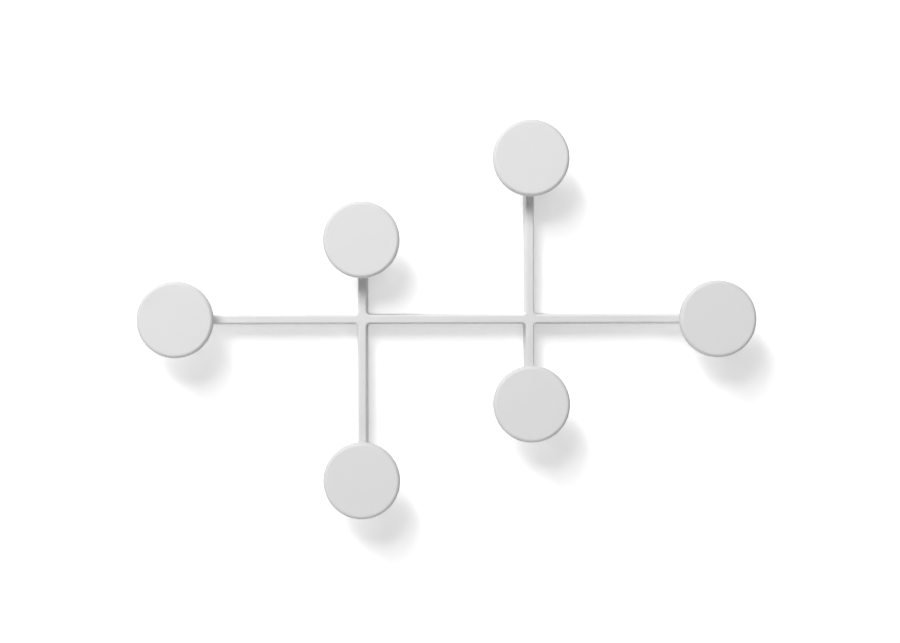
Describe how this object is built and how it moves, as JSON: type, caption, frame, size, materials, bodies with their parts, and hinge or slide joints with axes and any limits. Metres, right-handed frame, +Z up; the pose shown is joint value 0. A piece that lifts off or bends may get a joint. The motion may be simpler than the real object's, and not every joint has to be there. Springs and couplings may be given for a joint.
{
  "type": "wall coat rack",
  "caption": "White powder-coated wall coat rack: a rail crossed by two uprights, with a round disc knob at every bar end that unscrews to reach the wall screw behind it.",
  "frame": {"origin": "on the wall, behind the middle of the rail, halfway between the outer wall screw holes", "axes": "+X to the right seen from the front, +Y into the wall, +Z up; the discs face -Y"},
  "size_m": [0.605, 0.055, 0.39],
  "materials": {
    "white_powder_coat": "matte",
    "zinc_plated_steel": "satin",
    "nylon": "satin"
  },
  "bodies": {
    "frame": {"rail": "white_powder_coat", "left_upright": "white_powder_coat", "right_upright": "white_powder_coat", "left_post": "white_powder_coat", "upper_left_post": "white_powder_coat", "lower_left_post": "white_powder_coat", "upper_right_post": "white_powder_coat", "lower_right_post": "white_powder_coat", "right_post": "white_powder_coat"},
    "left_washer": {"left_washer": "nylon"},
    "left_knob": {"left_disc": "white_powder_coat", "left_stud": "zinc_plated_steel"},
    "upper_left_washer": {"upper_left_washer": "nylon"},
    "upper_left_knob": {"upper_left_disc": "white_powder_coat", "upper_left_stud": "zinc_plated_steel"},
    "lower_left_washer": {"lower_left_washer": "nylon"},
    "lower_left_knob": {"lower_left_disc": "white_powder_coat", "lower_left_stud": "zinc_plated_steel"},
    "upper_right_washer": {"upper_right_washer": "nylon"},
    "upper_right_knob": {"upper_right_disc": "white_powder_coat", "upper_right_stud": "zinc_plated_steel"},
    "lower_right_washer": {"lower_right_washer": "nylon"},
    "lower_right_knob": {"lower_right_disc": "white_powder_coat", "lower_right_stud": "zinc_plated_steel"},
    "right_washer": {"right_washer": "nylon"},
    "right_knob": {"right_disc": "white_powder_coat", "right_stud": "zinc_plated_steel"}
  },
  "joints": [
    {"name": "left_lift", "type": "slide", "parent": "frame", "child": "left_washer", "axis": [0, -1, 0], "range_m": [0, 0.01225]},
    {"name": "left_turn", "type": "hinge", "parent": "left_washer", "child": "left_knob", "pos_m": [-0.265, -0.045, 0], "axis": [0, -1, 0], "range_deg": [0, 2520]},
    {"name": "upper_left_lift", "type": "slide", "parent": "frame", "child": "upper_left_washer", "axis": [0, -1, 0], "range_m": [0, 0.01225]},
    {"name": "upper_left_turn", "type": "hinge", "parent": "upper_left_washer", "child": "upper_left_knob", "pos_m": [-0.083, -0.045, 0.078], "axis": [0, -1, 0], "range_deg": [0, 2520]},
    {"name": "lower_left_lift", "type": "slide", "parent": "frame", "child": "lower_left_washer", "axis": [0, -1, 0], "range_m": [0, 0.01225]},
    {"name": "lower_left_turn", "type": "hinge", "parent": "lower_left_washer", "child": "lower_left_knob", "pos_m": [-0.083, -0.045, -0.1575], "axis": [0, -1, 0], "range_deg": [0, 2520]},
    {"name": "upper_right_lift", "type": "slide", "parent": "frame", "child": "upper_right_washer", "axis": [0, -1, 0], "range_m": [0, 0.01225]},
    {"name": "upper_right_turn", "type": "hinge", "parent": "upper_right_washer", "child": "upper_right_knob", "pos_m": [0.083, -0.045, 0.1575], "axis": [0, -1, 0], "range_deg": [0, 2520]},
    {"name": "lower_right_lift", "type": "slide", "parent": "frame", "child": "lower_right_washer", "axis": [0, -1, 0], "range_m": [0, 0.01225]},
    {"name": "lower_right_turn", "type": "hinge", "parent": "lower_right_washer", "child": "lower_right_knob", "pos_m": [0.083, -0.045, -0.083], "axis": [0, -1, 0], "range_deg": [0, 2520]},
    {"name": "right_lift", "type": "slide", "parent": "frame", "child": "right_washer", "axis": [0, -1, 0], "range_m": [0, 0.01225]},
    {"name": "right_turn", "type": "hinge", "parent": "right_washer", "child": "right_knob", "pos_m": [0.265, -0.045, 0], "axis": [0, -1, 0], "range_deg": [0, 2520]}
  ],
  "couplings": [
    {"joint": "left_lift", "follows": "left_turn", "m_per_rad": 0.00027852},
    {"joint": "upper_left_lift", "follows": "upper_left_turn", "m_per_rad": 0.00027852},
    {"joint": "lower_left_lift", "follows": "lower_left_turn", "m_per_rad": 0.00027852},
    {"joint": "upper_right_lift", "follows": "upper_right_turn", "m_per_rad": 0.00027852},
    {"joint": "lower_right_lift", "follows": "lower_right_turn", "m_per_rad": 0.00027852},
    {"joint": "right_lift", "follows": "right_turn", "m_per_rad": 0.00027852}
  ]
}
